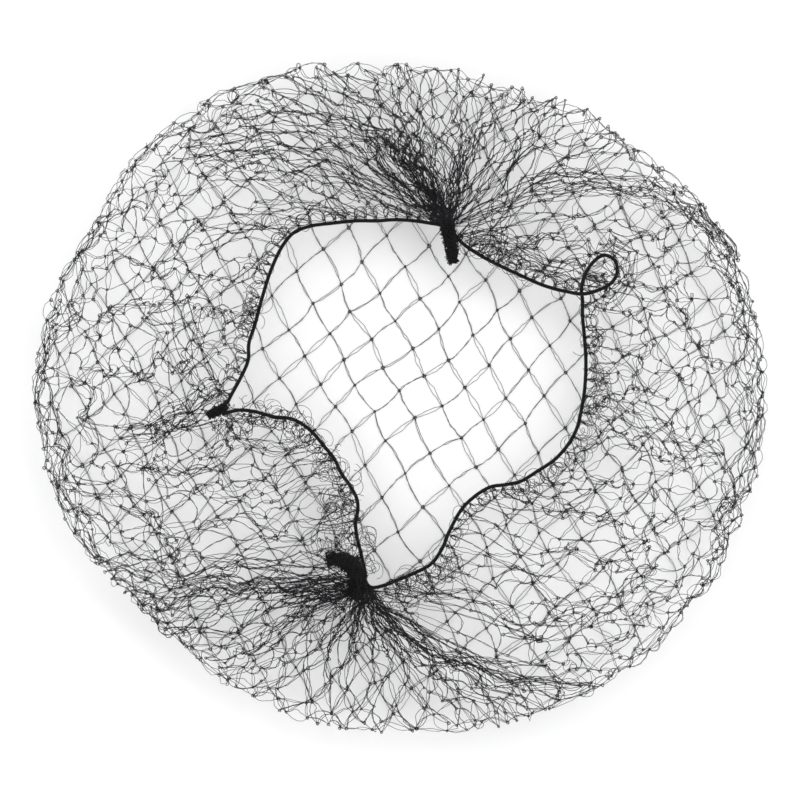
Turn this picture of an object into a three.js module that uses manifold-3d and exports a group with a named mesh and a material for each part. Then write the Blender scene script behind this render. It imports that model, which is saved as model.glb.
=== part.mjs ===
// Hairnet: a knotted nylon net bag on an elastic cord, lying on a table with its mouth up.
// The net is one sheet of diamond netting. Its middle lies flat, its sides roll up and come back
// over the top to the mouth, where the sheet's edge is gathered on the cord and into two tufts.
import * as THREE from 'three';
import { mergeVertices } from 'three/addons/utils/BufferGeometryUtils.js';
import Module from 'manifold-3d';

// Driving dimensions in millimetres and degrees. Z points up from the table, Y to the brow tuft.
const NET_THICKNESS = 1.2; // wall of the netting, as thick as its knots
const MESH_SIDE = 22; // one side of a diamond in the sheet
const MESH_ANGLES = [118, 42]; // the two ways that the strands run across the sheet
const STRAND_WIDTH = 2.4; // width of the netting between two gaps
const WIDEST_STRAND_SHARE = 0.3; // the most of a diamond's side that half a strand takes up
const WALL_REACH = 56; // sheet between the flat middle and the sheet's edge
const ROLL = 12; // from the edge of the flat middle out to the widest line
const SHOULDER = 26; // from the widest line in to the crest
const WIDEST_HEIGHT_SHARE = 0.42; // height of the widest line over the crest's height
const ROLL_SHARE = 0.22; // share of the wall that lies below the widest line
const CREST_SHARE = 0.6; // share of the wall that lies below the crest
const PLEATS_PER_TURN = 18; // pleats of the gathers that fan out of the tufts
const PLEAT_DEPTH = 1.1;
const CORD_DIAMETER = 1.1;
const CORD_ROOM = 1.85; // the bore that a tuft or the knot leaves for the cord
const CORD_SIDES = 8;
const CORD_STEPS = 112;
const FIT_GAP = 0.3; // clearance between pieces that touch
const EDGE_OFFSET = CORD_DIAMETER / 2 + FIT_GAP + 0.55; // from the cord's centre to the net's edge
const BENT_EDGE_PARTS = 4; // straight parts of a strand where the sheet bends
const SMOOTHING_ROUNDS = 6;
const NARROWEST_DIAGONAL = 6; // a diamond narrower than this is left closed

// The bag's outline seen from above, and how high it stands, every 15 degrees from X to Y.
const SECTION_STEP = 15;
const SECTIONS = [
  { radius: 104.2, crest: 27 },
  { radius: 104.5, crest: 27 },
  { radius: 103.2, crest: 26 },
  { radius: 98.6, crest: 25 },
  { radius: 98.6, crest: 24 },
  { radius: 96.4, crest: 23 },
  { radius: 96.2, crest: 23 },
  { radius: 99.0, crest: 24 },
  { radius: 102.0, crest: 26 },
  { radius: 103.0, crest: 28 },
  { radius: 101.4, crest: 29 },
  { radius: 104.0, crest: 29 },
  { radius: 104.8, crest: 28 },
  { radius: 103.4, crest: 26 },
  { radius: 99.0, crest: 24 },
  { radius: 94.8, crest: 23 },
  { radius: 95.8, crest: 22 },
  { radius: 97.2, crest: 22 },
  { radius: 96.4, crest: 22 },
  { radius: 98.2, crest: 23 },
  { radius: 100.0, crest: 25 },
  { radius: 101.8, crest: 26 },
  { radius: 102.8, crest: 27 },
  { radius: 104.4, crest: 27 },
];

// Long dents where the netting is bunched, as lines on the plan.
const DENTS = [
  { x0: 12, y0: 56, x1: -28, y1: 88, width: 9, depth: 3.0 },
  { x0: 17, y0: 54, x1: 66, y1: 58, width: 8, depth: 3.5 },
  { x0: -18, y0: -56, x1: -64, y1: -54, width: 7, depth: 3.5 },
  { x0: -64, y0: -52, x1: -90, y1: -26, width: 8, depth: 3.0 },
  { x0: -10, y0: -60, x1: 46, y1: -78, width: 8, depth: 3.5 },
  { x0: 62, y0: -2, x1: 84, y1: -30, width: 10, depth: 3.0 },
  { x0: -50, y0: -3, x1: -84, y1: 12, width: 8, depth: 2.5 },
  { x0: 50, y0: 28, x1: 60, y1: 36, width: 8, depth: 7 },
];

// The cord's route from one end in the side knot, round the mouth, to the other end.
// At the side knot and at the small curl, where the cord crosses itself, the net's edge leaves
// the cord, so some rows are the route of only one of them.
const CORD_ROUTE = [
  { x: -50.8, y: -4.6, z: 20.4, only: 'cord' },
  { x: -48.8, y: -4.0, z: 19.4, only: 'cord' },
  { x: -46.4, y: -3.5, z: 18.0, only: 'cord' },
  { x: -46.0, y: -3.6, z: 16.6, only: 'net' },
  { x: -42.0, y: -3.9, z: 16.0 },
  { x: -36.5, y: -5.4, z: 14.9 },
  { x: -32.0, y: -5.9, z: 14.5 },
  { x: -28.8, y: -7.2, z: 14.2 },
  { x: -25.5, y: -9.8, z: 13.9 },
  { x: -21.8, y: -14.2, z: 13.5 },
  { x: -19.2, y: -17.4, z: 13.3 },
  { x: -17.3, y: -21.4, z: 13.1 },
  { x: -14.4, y: -25.6, z: 13.0 },
  { x: -12.7, y: -29.0, z: 13.0 },
  { x: -12.4, y: -32.2, z: 13.0 },
  { x: -13.1, y: -35.6, z: 13.0 },
  { x: -12.6, y: -40.0, z: 13.2 },
  { x: -11.4, y: -45.0, z: 13.8 },
  { x: -10.3, y: -50.0, z: 14.9 },
  { x: -10.2, y: -52.6, z: 15.4 },
  { x: -8.6, y: -54.2, z: 15.6 },
  { x: -5.6, y: -53.9, z: 15.2 },
  { x: -1.0, y: -52.2, z: 14.6 },
  { x: 4.3, y: -50.0, z: 14.0 },
  { x: 8.6, y: -47.6, z: 13.5 },
  { x: 11.7, y: -43.4, z: 13.1 },
  { x: 14.0, y: -38.0, z: 12.8 },
  { x: 17.4, y: -32.0, z: 12.6 },
  { x: 21.0, y: -28.4, z: 12.5 },
  { x: 25.6, y: -25.6, z: 12.5 },
  { x: 30.0, y: -24.9, z: 12.5 },
  { x: 34.2, y: -24.0, z: 12.6 },
  { x: 39.2, y: -21.0, z: 12.8 },
  { x: 44.2, y: -17.6, z: 13.0 },
  { x: 48.2, y: -13.0, z: 13.2 },
  { x: 50.4, y: -8.8, z: 13.4 },
  { x: 51.7, y: -3.6, z: 13.6 },
  { x: 52.6, y: 2.0, z: 13.8 },
  { x: 53.0, y: 10.0, z: 14.0 },
  { x: 52.6, y: 17.0, z: 14.3 },
  { x: 52.0, y: 23.4, z: 14.6 },
  { x: 51.2, y: 28.4, z: 14.2, only: 'net' },
  { x: 51.8, y: 28.0, z: 17.8, only: 'cord' },
  { x: 51.4, y: 31.0, z: 20.2, only: 'cord' },
  { x: 52.1, y: 34.4, z: 22.8, only: 'cord' },
  { x: 54.2, y: 38.2, z: 25.2, only: 'cord' },
  { x: 57.4, y: 40.4, z: 26.4, only: 'cord' },
  { x: 60.4, y: 39.0, z: 26.8, only: 'cord' },
  { x: 61.2, y: 35.6, z: 26.6, only: 'cord' },
  { x: 59.6, y: 32.6, z: 25.4, only: 'cord' },
  { x: 56.0, y: 30.6, z: 23.2, only: 'cord' },
  { x: 51.6, y: 29.6, z: 20.8, only: 'cord' },
  { x: 47.2, y: 30.4, z: 18.2, only: 'cord' },
  { x: 43.6, y: 31.3, z: 16.2, only: 'cord' },
  { x: 46.4, y: 30.6, z: 14.2, only: 'net' },
  { x: 39.8, y: 32.6, z: 15.2 },
  { x: 34.4, y: 35.0, z: 15.2 },
  { x: 28.0, y: 38.0, z: 15.2 },
  { x: 22.0, y: 41.2, z: 15.6 },
  { x: 17.4, y: 44.4, z: 16.2 },
  { x: 13.4, y: 48.6, z: 16.6 },
  { x: 7.0, y: 50.2, z: 16.3 },
  { x: -1.0, y: 51.0, z: 15.8 },
  { x: -7.0, y: 50.7, z: 15.5 },
  { x: -13.0, y: 50.7, z: 15.3 },
  { x: -20.0, y: 50.0, z: 15.2 },
  { x: -26.0, y: 49.2, z: 15.1 },
  { x: -30.6, y: 47.4, z: 15.0 },
  { x: -33.8, y: 43.8, z: 14.9 },
  { x: -37.2, y: 36.8, z: 14.7 },
  { x: -39.6, y: 29.4, z: 14.6 },
  { x: -42.0, y: 20.6, z: 14.6 },
  { x: -43.6, y: 15.6, z: 14.8 },
  { x: -43.8, y: 10.8, z: 15.1 },
  { x: -45.6, y: 6.4, z: 15.7 },
  { x: -48.2, y: 1.4, z: 18.0, only: 'cord' },
  { x: -47.8, y: 1.8, z: 16.8, only: 'net' },
  { x: -49.6, y: -1.2, z: 19.6, only: 'cord' },
  { x: -51.4, y: -2.4, z: 20.6, only: 'cord' },
  { x: -48.2, y: -2.0, z: 16.9, only: 'net' },
];

// Where the sheet's edge is bunched: the part of the sheet's edge, as angles seen from the
// sheet's middle, and the point on the cord that holds it.
const NAPE_GATHER = { from: 212, to: 302, x: -9.8, y: -53.6, clear: 4.0 };
const BROW_GATHER = { from: 386, to: 496, x: 13.4, y: 48.6, clear: 3.3 };

// Centre lines of the bound tufts and of the side knot, from the neck to the tip.
const BROW_TUFT = {
  name: 'brow_tuft',
  turns: 9,
  line: [
    { x: 13.1, y: 49.6, z: 16.7, radius: 2.0 },
    { x: 13.6, y: 46.6, z: 16.6, radius: 1.75 },
    { x: 14.4, y: 43.2, z: 16.0, radius: 1.9 },
    { x: 14.8, y: 40.2, z: 15.2, radius: 2.0 },
  ],
};
const NAPE_TUFT = {
  name: 'nape_tuft',
  turns: 12,
  line: [
    { x: -10.6, y: -54.0, z: 16.6, radius: 2.2 },
    { x: -12.0, y: -51.8, z: 19.4, radius: 2.6 },
    { x: -14.2, y: -48.6, z: 21.2, radius: 2.6 },
    { x: -17.6, y: -46.4, z: 22.0, radius: 2.2 },
  ],
};
const SIDE_KNOT = {
  name: 'side_knot',
  turns: 4,
  line: [
    { x: -50.4, y: -3.2, z: 20.4, radius: 2.1 },
    { x: -52.2, y: -3.8, z: 20.8, radius: 1.8 },
    { x: -54.4, y: -4.6, z: 20.9, radius: 1.3 },
  ],
};
const BINDING_DEPTH = 0.12; // how far the turns of binding thread stand out
const TUFT_SIDES = 8;
const RINGS_PER_TURN = 2;
const CAP_RINGS = 3;

const wasm = await Module();
wasm.setup();

const radians = THREE.MathUtils.degToRad;
const angleOf = (v) => THREE.MathUtils.radToDeg(Math.atan2(v.y, v.x));
const turnOf = (degrees) => ((degrees % 360) + 360) % 360;

// One column of the section table at any angle, by a Catmull-Rom curve through its rows.
function sectionValue(key, degrees) {
  const at = turnOf(degrees) / SECTION_STEP;
  const row = Math.floor(at);
  const t = at - row;
  const [a, b, c, d] = [-1, 0, 1, 2].map(
    (k) => SECTIONS[(row + k + SECTIONS.length) % SECTIONS.length][key]);
  return b + 0.5 * t * (c - a + t * (2 * a - 5 * b + 4 * c - d + t * (3 * (b - c) + d - a)));
}

const flatReach = (degrees) => sectionValue('radius', degrees) - ROLL;
const sheetReach = (degrees) => flatReach(degrees) + WALL_REACH;

// The route's points, without the rows that are only for the other of cord and net.
function routePoints(other) {
  return CORD_ROUTE.filter((row) => row.only !== other)
    .map((row) => new THREE.Vector3(row.x, row.y, row.z));
}

// The closed line of the mouth, which the net's edge follows.
const mouthCurve = new THREE.CatmullRomCurve3(routePoints('cord'), true);
mouthCurve.arcLengthDivisions = 600;
const mouthLength = mouthCurve.getLength();

// The point at a share of the mouth's length, moved outwards to leave room for the cord.
function edgePoint(share) {
  const u = ((share % 1) + 1) % 1;
  const tangent = mouthCurve.getTangentAt(u).setZ(0).normalize();
  const outwards = new THREE.Vector3(tangent.y, -tangent.x, 0);
  return mouthCurve.getPointAt(u).addScaledVector(outwards, EDGE_OFFSET);
}

// The share of the mouth's length that is nearest a point on the plan.
function mouthShareAt(x, y) {
  const samples = 2000;
  let best = { share: 0, distance: Infinity };
  for (let k = 0; k < samples; k++) {
    const p = mouthCurve.getPointAt(k / samples);
    const distance = Math.hypot(p.x - x, p.y - y);
    if (distance < best.distance) best = { share: k / samples, distance };
  }
  return best.share;
}

// A gather's neck, and where the net's edge comes to it and leaves it.
function collarOf(gather) {
  const share = mouthShareAt(gather.x, gather.y);
  const reach = gather.clear / mouthLength;
  const neck = mouthCurve.getPointAt(share);
  const ends = [edgePoint(share - reach), edgePoint(share + reach)].map((p) => {
    const out = p.clone().sub(neck);
    return { angle: Math.atan2(out.y, out.x), radius: Math.hypot(out.x, out.y), z: p.z };
  });
  while (ends[1].angle < ends[0].angle) ends[1].angle += 2 * Math.PI;
  return { neck, share, reach, ends };
}

const napeCollar = collarOf(NAPE_GATHER);
const browCollar = collarOf(BROW_GATHER);

function collarPoint(collar, t) {
  const [a, b] = collar.ends;
  const angle = THREE.MathUtils.lerp(a.angle, b.angle, t);
  const radius = THREE.MathUtils.lerp(a.radius, b.radius, t);
  return new THREE.Vector3(
    collar.neck.x + radius * Math.cos(angle),
    collar.neck.y + radius * Math.sin(angle),
    THREE.MathUtils.lerp(a.z, b.z, t));
}

// Where the sheet's edge at an angle of the sheet ends up on the mouth.
function mouthPoint(degrees) {
  const angle = turnOf(degrees - NAPE_GATHER.from) + NAPE_GATHER.from;
  if (angle <= NAPE_GATHER.to) {
    return collarPoint(napeCollar, (angle - NAPE_GATHER.from) / (NAPE_GATHER.to - NAPE_GATHER.from));
  }
  if (angle >= BROW_GATHER.from && angle <= BROW_GATHER.to) {
    return collarPoint(browCollar, (angle - BROW_GATHER.from) / (BROW_GATHER.to - BROW_GATHER.from));
  }
  const right = angle < BROW_GATHER.from;
  const start = right ? napeCollar : browCollar;
  const end = right ? browCollar : napeCollar;
  const from = right ? NAPE_GATHER.to : BROW_GATHER.to;
  const to = right ? BROW_GATHER.from : NAPE_GATHER.from + 360;
  const first = start.share + start.reach;
  let last = end.share - end.reach;
  while (last < first) last += 1;
  return edgePoint(THREE.MathUtils.lerp(first, last, (angle - from) / (to - from)));
}

// How much a point on the plan is pressed in by the long dents.
function dentAt(x, y) {
  let depth = 0;
  for (const dent of DENTS) {
    const [dx, dy] = [dent.x1 - dent.x0, dent.y1 - dent.y0];
    const along = ((x - dent.x0) * dx + (y - dent.y0) * dy) / (dx * dx + dy * dy);
    const t = THREE.MathUtils.clamp(along, 0, 1);
    const away = Math.hypot(x - dent.x0 - t * dx, y - dent.y0 - t * dy) / dent.width;
    depth = Math.max(depth, dent.depth * Math.exp(-away * away));
  }
  return depth;
}

// How strongly the pleats of the two gathers show at an angle of the sheet.
function gatherAt(degrees) {
  return Math.max(...[NAPE_GATHER, BROW_GATHER].map((gather) => {
    const middle = (gather.from + gather.to) / 2;
    const half = (gather.to - gather.from) / 2;
    const away = Math.abs(turnOf(degrees - middle + 180) - 180) / half;
    return THREE.MathUtils.clamp(1.5 * (1 - away), 0, 1);
  }));
}

// The outer face of the bag at a point of the flat sheet.
function bagPoint(p, q) {
  const reach = Math.hypot(p, q);
  const degrees = THREE.MathUtils.radToDeg(Math.atan2(q, p));
  const flat = flatReach(degrees);
  if (reach <= flat) return new THREE.Vector3(p, q, 0);
  const wall = Math.min((reach - flat) / WALL_REACH, 1);
  const radius = sectionValue('radius', degrees);
  const crest = sectionValue('crest', degrees);
  const widest = crest * WIDEST_HEIGHT_SHARE;
  const direction = new THREE.Vector3(p / reach, q / reach, 0);
  if (wall <= ROLL_SHARE) {
    const turn = (wall / ROLL_SHARE) * Math.PI / 2;
    return direction.multiplyScalar(flat + ROLL * Math.sin(turn))
      .setZ(widest * (1 - Math.cos(turn)));
  }
  const point = new THREE.Vector3();
  if (wall <= CREST_SHARE) {
    const turn = (wall - ROLL_SHARE) / (CREST_SHARE - ROLL_SHARE) * Math.PI / 2;
    point.copy(direction).multiplyScalar(radius - SHOULDER * (1 - Math.cos(turn)));
    point.z = widest + (crest - widest) * Math.sin(turn);
  } else {
    const t = (wall - CREST_SHARE) / (1 - CREST_SHARE);
    const mouth = mouthPoint(degrees);
    mouth.z += NET_THICKNESS / 2;
    point.copy(direction).multiplyScalar(radius - SHOULDER).lerp(mouth, t);
    point.z = mouth.z + (crest - mouth.z) * (1 + Math.cos(Math.PI * t)) / 2;
  }
  const rise = (wall - ROLL_SHARE) / (1 - ROLL_SHARE);
  const fade = Math.sin(Math.PI * rise);
  const pleat = Math.cos(radians(PLEATS_PER_TURN * degrees)) * gatherAt(degrees);
  point.z += fade * (PLEAT_DEPTH * pleat - dentAt(point.x, point.y));
  return point;
}

// The way into the bag from its outer face, square to the sheet. It turns straight down towards
// the mouth, so that the edge of the sheet stands upright beside the cord.
function inwards(p, q) {
  const step = 0.2;
  const reach = Math.hypot(p, q);
  const flat = flatReach(THREE.MathUtils.radToDeg(Math.atan2(q, p)));
  if (reach < flat - step) return new THREE.Vector3(0, 0, 1);
  const [cp, cq] = [p / reach, q / reach];
  const back = bagPoint(p - step * cp, q - step * cq);
  const outwards = bagPoint(p, q).sub(back);
  const across = bagPoint(p - step * cq, q + step * cp).sub(bagPoint(p + step * cq, q - step * cp));
  const upright = THREE.MathUtils.smoothstep((reach - flat) / WALL_REACH, CREST_SHARE, 0.9);
  return outwards.cross(across).normalize().lerp(new THREE.Vector3(0, 0, -1), upright).normalize();
}

const SQUARE = [[0, 0], [1, 0], [1, 1], [0, 1]];
const toCorners = (cell) => SQUARE.map(([i, j]) => [cell[0] + i, cell[1] + j]);

// A point of the sheet inside a diamond, at shares u and v of its two ways.
function blend(ring, u, v) {
  const near = ring[0].clone().lerp(ring[1], u);
  return near.lerp(ring[3].clone().lerp(ring[2], u), v);
}

// The diamonds of the netting: their corners in the flat sheet, with the edge ones drawn to the
// sheet's edge and the ones of the wall evened out.
function meshLayout() {
  const [a, b] = MESH_ANGLES.map((degrees) =>
    new THREE.Vector2(Math.cos(radians(degrees)), Math.sin(radians(degrees))).multiplyScalar(MESH_SIDE));
  const place = (i, j) => new THREE.Vector2(-i * a.x + j * b.x, -i * a.y + j * b.y);
  const span = Math.ceil(2 * (WALL_REACH + SECTIONS[0].radius) / MESH_SIDE);
  const cells = [];
  for (let i = -span; i <= span; i++) {
    for (let j = -span; j <= span; j++) {
      const middle = place(i + 0.5, j + 0.5);
      if (middle.length() < sheetReach(angleOf(middle)) - 0.3 * MESH_SIDE) cells.push([i, j]);
    }
  }
  const corners = new Map();
  const uses = new Map();
  const neighbours = new Map();
  for (const cell of cells) {
    const ring = toCorners(cell);
    ring.forEach((corner, k) => {
      const next = ring[(k + 1) % 4];
      corners.set(String(corner), place(...corner));
      const edge = [String(corner), String(next)].sort().join(' ');
      uses.set(edge, (uses.get(edge) || 0) + 1);
      for (const [from, to] of [[corner, next], [next, corner]]) {
        const known = neighbours.get(String(from)) || new Set();
        neighbours.set(String(from), known.add(String(to)));
      }
    });
  }
  const onEdge = new Set();
  for (const [edge, count] of uses) {
    if (count === 1) edge.split(' ').forEach((corner) => onEdge.add(corner));
  }
  for (const corner of onEdge) {
    const v = corners.get(corner);
    v.setLength(sheetReach(angleOf(v)));
  }
  for (let round = 0; round < SMOOTHING_ROUNDS; round++) {
    for (const [corner, v] of corners) {
      if (onEdge.has(corner) || v.length() < flatReach(angleOf(v))) continue;
      const mean = new THREE.Vector2();
      neighbours.get(corner).forEach((other) => mean.add(corners.get(other)));
      v.lerp(mean.divideScalar(neighbours.get(corner).size), 0.4);
    }
  }
  return { cells, corners, onEdge };
}

// The net bag as one solid: two skins of the pierced sheet, the walls of its gaps and its edge.
function netGeometry() {
  const { cells, corners, onEdge } = meshLayout();
  const positions = [];
  const triangles = [];
  const known = new Map();
  // Index of a sheet point's vertex on the outer skin; the inner skin's one follows it.
  const vertex = (v) => {
    const key = v.x.toFixed(4) + ' ' + v.y.toFixed(4);
    if (!known.has(key)) {
      known.set(key, positions.length / 3);
      const outer = bagPoint(v.x, v.y);
      const inner = outer.clone().addScaledVector(inwards(v.x, v.y), NET_THICKNESS);
      positions.push(...outer, ...inner);
    }
    return known.get(key);
  };
  const skins = (a, b, c) => triangles.push(a + 1, b + 1, c + 1, c, b, a);
  const wallTowardsGap = (a, b) => triangles.push(a + 1, b + 1, b, a + 1, b, a);
  const wallOutwards = (a, b) => triangles.push(a, b, b + 1, a, b + 1, a + 1);
  const isFlat = (v) => v.length() < flatReach(angleOf(v));
  for (const cell of cells) {
    const names = toCorners(cell).map(String);
    const ring = names.map((name) => corners.get(name));
    const middle = ring.reduce((sum, v) => sum.add(v), new THREE.Vector2()).divideScalar(4);
    const open = isOpen(ring);
    const rims = rimShares(ring);
    ring.forEach((a, k) => {
      const b = ring[(k + 1) % 4];
      const outside = onEdge.has(names[k]) && onEdge.has(names[(k + 1) % 4]) &&
        isOutside(cell, k, cells);
      const parts = isFlat(a) && isFlat(b) ? 1 : BENT_EDGE_PARTS;
      for (let part = 0; part < parts; part++) {
        const [p, q] = [part, part + 1].map((s) => {
          const v = a.clone().lerp(b, s / parts);
          return outside ? v.setLength(sheetReach(angleOf(v))) : v;
        });
        const [vp, vq] = [vertex(p), vertex(q)];
        if (outside) wallOutwards(vp, vq);
        if (!open) {
          skins(vp, vq, vertex(middle));
          continue;
        }
        const [wp, wq] = [part, part + 1].map((s) => {
          const [u, v] = [0, 1].map((way) => {
            const along = THREE.MathUtils.lerp(SQUARE[k][way], SQUARE[(k + 1) % 4][way], s / parts);
            return THREE.MathUtils.lerp(rims[way], 1 - rims[way], along);
          });
          return vertex(blend(ring, u, v));
        });
        skins(vp, vq, wq);
        skins(vp, wq, wp);
        wallTowardsGap(wp, wq);
      }
    });
  }
  return new THREE.BufferGeometry()
    .setAttribute('position', new THREE.Float32BufferAttribute(positions, 3))
    .setIndex(triangles);
}

// True where no other diamond shares side k of this one.
function isOutside([i, j], k, cells) {
  const [di, dj] = [[0, -1], [1, 0], [0, 1], [-1, 0]][k];
  return !cells.some(([ci, cj]) => ci === i + di && cj === j + dj);
}

// Half a strand's width as shares of a diamond's two sides, measured on the bag.
function rimShares(ring) {
  const placed = ring.map((v) => bagPoint(v.x, v.y));
  const sides = [
    (placed[0].distanceTo(placed[1]) + placed[3].distanceTo(placed[2])) / 2,
    (placed[0].distanceTo(placed[3]) + placed[1].distanceTo(placed[2])) / 2,
  ];
  return sides.map((side) => Math.min(STRAND_WIDTH / 2 / side, WIDEST_STRAND_SHARE));
}

// A diamond is left open unless the gathers squeeze it too narrow.
function isOpen(ring) {
  const placed = ring.map((v) => bagPoint(v.x, v.y));
  const diagonals = [placed[0].distanceTo(placed[2]), placed[1].distanceTo(placed[3])];
  return Math.min(...diagonals) > NARROWEST_DIAGONAL;
}

// A round body along a centre line, with rounded ends and raised turns of binding thread.
function boundGeometry({ line, turns }) {
  const curve = new THREE.CatmullRomCurve3(line.map((row) => new THREE.Vector3(row.x, row.y, row.z)));
  const rings = turns * RINGS_PER_TURN;
  const frames = curve.computeFrenetFrames(rings, false);
  const radiusAt = (t) => {
    const at = Math.min(t * (line.length - 1), line.length - 1 - 1e-6);
    const row = Math.floor(at);
    return THREE.MathUtils.lerp(line[row].radius, line[row + 1].radius, at - row);
  };
  const hoops = [];
  const hoop = (k, radius, shift) => {
    const centre = curve.getPointAt(k / rings).addScaledVector(frames.tangents[k], shift);
    hoops.push({ centre, radius, normal: frames.normals[k], binormal: frames.binormals[k] });
  };
  for (let c = 0; c < CAP_RINGS; c++) {
    const turn = ((c + 0.5) / (CAP_RINGS + 0.5)) * Math.PI / 2;
    hoop(0, radiusAt(0) * Math.sin(turn), -radiusAt(0) * Math.cos(turn));
  }
  for (let k = 0; k <= rings; k++) {
    const raised = k % RINGS_PER_TURN === 1 ? BINDING_DEPTH : 0;
    hoop(k, radiusAt(k / rings) + raised, 0);
  }
  for (let c = CAP_RINGS - 1; c >= 0; c--) {
    const turn = ((c + 0.5) / (CAP_RINGS + 0.5)) * Math.PI / 2;
    hoop(rings, radiusAt(1) * Math.sin(turn), radiusAt(1) * Math.cos(turn));
  }
  const positions = [];
  const triangles = [];
  for (const { centre, radius, normal, binormal } of hoops) {
    for (let s = 0; s < TUFT_SIDES; s++) {
      const angle = (2 * Math.PI * s) / TUFT_SIDES;
      positions.push(...centre.clone()
        .addScaledVector(normal, radius * Math.cos(angle))
        .addScaledVector(binormal, radius * Math.sin(angle)));
    }
  }
  for (let h = 0; h + 1 < hoops.length; h++) {
    for (let s = 0; s < TUFT_SIDES; s++) {
      const [a, b] = [h * TUFT_SIDES + s, h * TUFT_SIDES + (s + 1) % TUFT_SIDES];
      triangles.push(a, b, b + TUFT_SIDES, a, b + TUFT_SIDES, a + TUFT_SIDES);
    }
  }
  const last = (hoops.length - 1) * TUFT_SIDES;
  for (let s = 1; s + 1 < TUFT_SIDES; s++) {
    triangles.push(0, s + 1, s, last, last + s, last + s + 1);
  }
  return new THREE.BufferGeometry()
    .setAttribute('position', new THREE.Float32BufferAttribute(positions, 3))
    .setIndex(triangles);
}

// The cord, or the room that it needs, as a round bar along its route.
function cordGeometry(diameter, overrun) {
  const points = routePoints('net');
  points[0].add(points[0].clone().sub(points[1]).setLength(overrun));
  points.at(-1).add(points.at(-1).clone().sub(points.at(-2)).setLength(overrun));
  const curve = new THREE.CatmullRomCurve3(points);
  curve.arcLengthDivisions = 600;
  const section = new THREE.Shape();
  for (let s = 0; s < CORD_SIDES; s++) {
    const angle = (2 * Math.PI * s) / CORD_SIDES;
    const corner = [diameter / 2 * Math.cos(angle), diameter / 2 * Math.sin(angle)];
    if (s) section.lineTo(...corner);
    else section.moveTo(...corner);
  }
  return new THREE.ExtrudeGeometry(section, { steps: CORD_STEPS, extrudePath: curve, bevelEnabled: false });
}

function solidOf(geometry) {
  const bare = geometry.clone();
  bare.deleteAttribute('normal');
  bare.deleteAttribute('uv');
  const merged = mergeVertices(bare, 1e-4);
  return new wasm.Manifold(new wasm.Mesh({
    numProp: 3,
    vertProperties: new Float32Array(merged.attributes.position.array),
    triVerts: new Uint32Array(merged.index.array),
  }));
}

function geometryOf(solid) {
  const mesh = solid.getMesh();
  return new THREE.BufferGeometry()
    .setAttribute('position', new THREE.BufferAttribute(mesh.vertProperties, 3))
    .setIndex(new THREE.BufferAttribute(mesh.triVerts, 1));
}

const nylon = new THREE.MeshStandardMaterial({ color: 0x17151a, roughness: 0.5, metalness: 0 });
const elastic = new THREE.MeshStandardMaterial({ color: 0x0c0b0e, roughness: 0.85, metalness: 0 });
const binding = new THREE.MeshStandardMaterial({ color: 0x0a090c, roughness: 0.9, metalness: 0 });

const hairnet = new THREE.Group();

function addPiece(name, geometry, material) {
  geometry.computeVertexNormals();
  const mesh = new THREE.Mesh(geometry, material);
  mesh.name = name;
  hairnet.add(mesh);
}

addPiece('net_bag', netGeometry(), nylon);
addPiece('elastic_cord', cordGeometry(CORD_DIAMETER, 0), elastic);
const cordRoom = solidOf(cordGeometry(CORD_ROOM, FIT_GAP));
for (const bundle of [BROW_TUFT, NAPE_TUFT, SIDE_KNOT]) {
  addPiece(bundle.name, geometryOf(solidOf(boundGeometry(bundle)).subtract(cordRoom)), binding);
}

export default hairnet;
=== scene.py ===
import math

import bpy
import numpy as np
from numpy.linalg import norm
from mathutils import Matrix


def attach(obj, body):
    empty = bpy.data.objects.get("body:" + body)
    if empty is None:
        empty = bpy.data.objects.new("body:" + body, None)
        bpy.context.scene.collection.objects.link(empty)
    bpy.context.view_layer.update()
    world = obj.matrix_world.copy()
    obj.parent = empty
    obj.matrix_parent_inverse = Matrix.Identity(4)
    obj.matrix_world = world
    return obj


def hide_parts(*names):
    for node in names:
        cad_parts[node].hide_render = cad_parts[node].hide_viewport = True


# The looks of the hairnet: fine knotted netting, wrapped elastic and bristly tufts, set in the
# frame's own places. Sizes are in millimetres and angles in degrees where a line says nothing
# else, and sizes go to metres when a mesh is made.
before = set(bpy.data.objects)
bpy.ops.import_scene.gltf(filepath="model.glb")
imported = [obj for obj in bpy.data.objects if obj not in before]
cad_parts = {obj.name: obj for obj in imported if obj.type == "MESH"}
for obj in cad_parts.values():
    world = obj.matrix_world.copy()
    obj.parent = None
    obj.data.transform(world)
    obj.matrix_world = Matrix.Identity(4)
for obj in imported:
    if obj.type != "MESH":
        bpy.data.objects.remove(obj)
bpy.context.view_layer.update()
MM = 0.001
rng = np.random.default_rng(83)

# The flat sheet of netting: the two ways in which its strands run, as steps from one knot to the
# next, a strand's real length, and how many steps from the middle are more than the sheet needs.
STEP_A = np.array([4.6, -8.6])
STEP_B = np.array([7.0, 6.3])
STRAND_LENGTH = 10.2
LATTICE_REACH = 46

# The yarn: the radius of its filaments in the flat middle, in the wall and in the pleats, how
# many sides they have, and how many points lie along a strand.
BASE_FILAMENT_RADIUS = 0.08
FILAMENT_RADIUS = 0.09
PLEAT_FILAMENT_RADIUS = 0.11
FILAMENT_SIDES = 3
STEPS = 8

# How strands vary: the slow waves that turn their bows, the jitter on that in radians, the mean
# and spread of how a bow rises, and that one filament in five bows the other way.
BOW_WAVELENGTH = 30
BOW_SEED = 31
BOW_JITTER = 0.9
BOW_RISE = (-0.25, 0.6)
BOW_SIDES = (1, 1, 1, 1, -1)

# A filament's length over the straight way, its share of the slack, how far the two part, how
# much of that is up and down, and the size of their twist and kinks.
FILAMENT_EXTRA = (0.001, 0.014)
FILAMENT_SLACK = (0.8, 1.1)
FILAMENT_PARTING = 0.4
FILAMENT_RISE = 0.4
TWIST = 0.09
KINK = 0.12

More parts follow.
